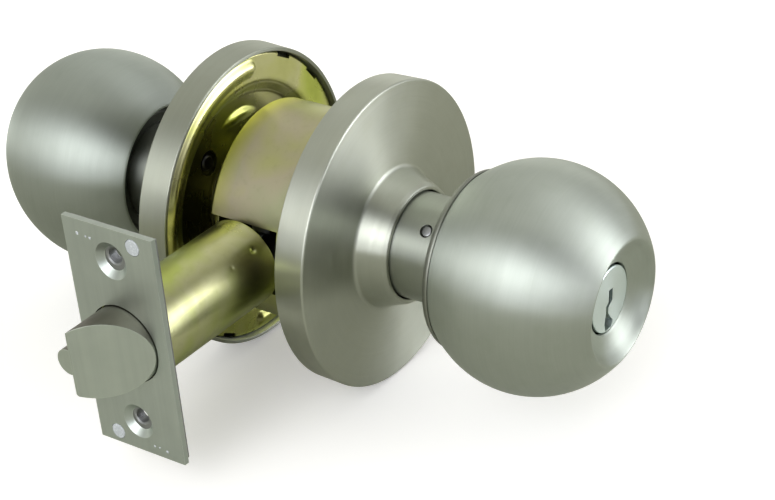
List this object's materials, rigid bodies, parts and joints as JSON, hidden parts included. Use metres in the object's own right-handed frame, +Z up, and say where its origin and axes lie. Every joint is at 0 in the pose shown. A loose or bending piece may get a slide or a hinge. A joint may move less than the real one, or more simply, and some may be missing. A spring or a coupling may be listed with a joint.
{
  "type": "cylindrical entry knob lockset",
  "caption": "Bored door knob lock: keyed ball knob outside, push-button ball knob inside, round roses, drum chassis and a deadlocking spring latch.",
  "frame": {"origin": "middle of the assembly's overall box at rest: on the latch centreline, level with the knob axis, 22.85 mm from the knob axis towards the latch", "axes": "+Z up; the knobs' axis is parallel to Y with the keyed outside knob towards -Y and the inside knob towards +Y; the latch bolt points along -X"},
  "size_m": [0.1196, 0.1762, 0.074],
  "materials": {
    "satin_stainless": "satin stainless steel, brushed round the axis",
    "dull_stainless": "matt satin stainless steel",
    "zinc_dichromate": "yellow zinc dichromate plating with a green and pink bloom",
    "plain_steel": "bright zinc plated steel",
    "brass": "machined brass",
    "satin_nickel": "fine satin nickel",
    "spring_steel": "drawn spring wire",
    "white_rivet": "bright staked rivet"
  },
  "bodies": {
    "chassis": {"exterior_rose": "satin_stainless", "exterior_rose_liner": "zinc_dichromate", "exterior_hub": "zinc_dichromate", "interior_rose": "satin_stainless", "interior_hub": "zinc_dichromate", "housing_drum": "zinc_dichromate", "interior_end_plate": "zinc_dichromate", "exterior_end_plate": "zinc_dichromate", "interior_mounting_plate": "zinc_dichromate", "plate_screw_upper": "plain_steel", "plate_screw_lower": "plain_steel", "latch_faceplate": "dull_stainless", "latch_backplate": "plain_steel", "faceplate_rivet_upper": "white_rivet", "faceplate_rivet_lower": "white_rivet", "latch_tube": "zinc_dichromate", "tube_end_guide": "plain_steel", "bolt_spring": "spring_steel", "plunger_spring": "spring_steel", "retractor_spring_upper": "spring_steel", "retractor_spring_lower": "spring_steel"},
    "exterior_knob": {"exterior_knob_shell": "satin_stainless", "exterior_knob_back": "dull_stainless", "exterior_knob_shank": "satin_stainless", "exterior_spindle": "plain_steel", "cylinder_housing": "brass", "chamber_cap": "brass", "driver_pin_1": "brass", "driver_pin_2": "brass", "driver_pin_3": "brass", "driver_pin_4": "brass", "driver_pin_5": "brass", "pin_spring_1": "spring_steel", "pin_spring_2": "spring_steel", "pin_spring_3": "spring_steel", "pin_spring_4": "spring_steel", "pin_spring_5": "spring_steel"},
    "cylinder_plug": {"cylinder_plug": "satin_nickel", "plug_retainer_clip": "spring_steel", "tailpiece": "plain_steel", "key_pin_1": "brass", "key_pin_2": "brass", "key_pin_3": "brass", "key_pin_4": "brass", "key_pin_5": "brass"},
    "exterior_catch": {"exterior_knob_catch": "plain_steel"},
    "interior_knob": {"interior_knob_shell": "satin_stainless", "interior_knob_back": "dull_stainless", "interior_knob_shank": "satin_stainless", "interior_spindle": "plain_steel", "button_bushing": "dull_stainless", "button_spring": "spring_steel"},
    "interior_catch": {"interior_knob_catch": "plain_steel"},
    "push_button": {"push_button": "satin_stainless", "button_rod": "plain_steel"},
    "retractor": {"retractor": "plain_steel"},
    "latch_bolt": {"latch_bolt": "dull_stainless", "latch_tail": "plain_steel"},
    "deadlock_plunger": {"deadlock_plunger": "dull_stainless"}
  },
  "joints": [
    {"name": "interior_knob_turn", "type": "hinge", "parent": "chassis", "child": "interior_knob", "pos_m": [0.02285, 0.0646, 0], "axis": [0, 1, 0], "range_deg": [0, 60]},
    {"name": "exterior_knob_turn", "type": "hinge", "parent": "chassis", "child": "exterior_knob", "pos_m": [0.02285, -0.066, 0], "axis": [0, 1, 0], "range_deg": [-60, 60]},
    {"name": "cylinder_plug_turn", "type": "hinge", "parent": "exterior_knob", "child": "cylinder_plug", "pos_m": [0.02285, -0.07, 0], "axis": [0, 1, 0], "range_deg": [-90, 90]},
    {"name": "retractor_slide", "type": "slide", "parent": "chassis", "child": "retractor", "axis": [1, 0, 0], "range_m": [0, 0.0128], "deforming": ["retractor_spring_upper", "retractor_spring_lower"]},
    {"name": "latch_bolt_slide", "type": "slide", "parent": "chassis", "child": "latch_bolt", "axis": [1, 0, 0], "range_m": [0, 0.0128], "deforming": ["bolt_spring"]},
    {"name": "deadlock_plunger_press", "type": "slide", "parent": "latch_bolt", "child": "deadlock_plunger", "axis": [1, 0, 0], "range_m": [0, 0.009], "deforming": ["plunger_spring"]},
    {"name": "push_button_press", "type": "slide", "parent": "interior_knob", "child": "push_button", "axis": [0, -1, 0], "range_m": [0, 0.004], "deforming": ["button_spring"]},
    {"name": "exterior_catch_press", "type": "slide", "parent": "exterior_knob", "child": "exterior_catch", "axis": [0.6561, 0, -0.7547], "range_m": [0, 0.0018]},
    {"name": "interior_catch_press", "type": "slide", "parent": "interior_knob", "child": "interior_catch", "axis": [0.6561, 0, -0.7547], "range_m": [0, 0.0018]}
  ],
  "couplings": [
    {"joint": "retractor_slide", "follows": "interior_knob_turn", "m_per_rad": 0.012127},
    {"joint": "latch_bolt_slide", "follows": "interior_knob_turn", "m_per_rad": 0.012127}
  ]
}
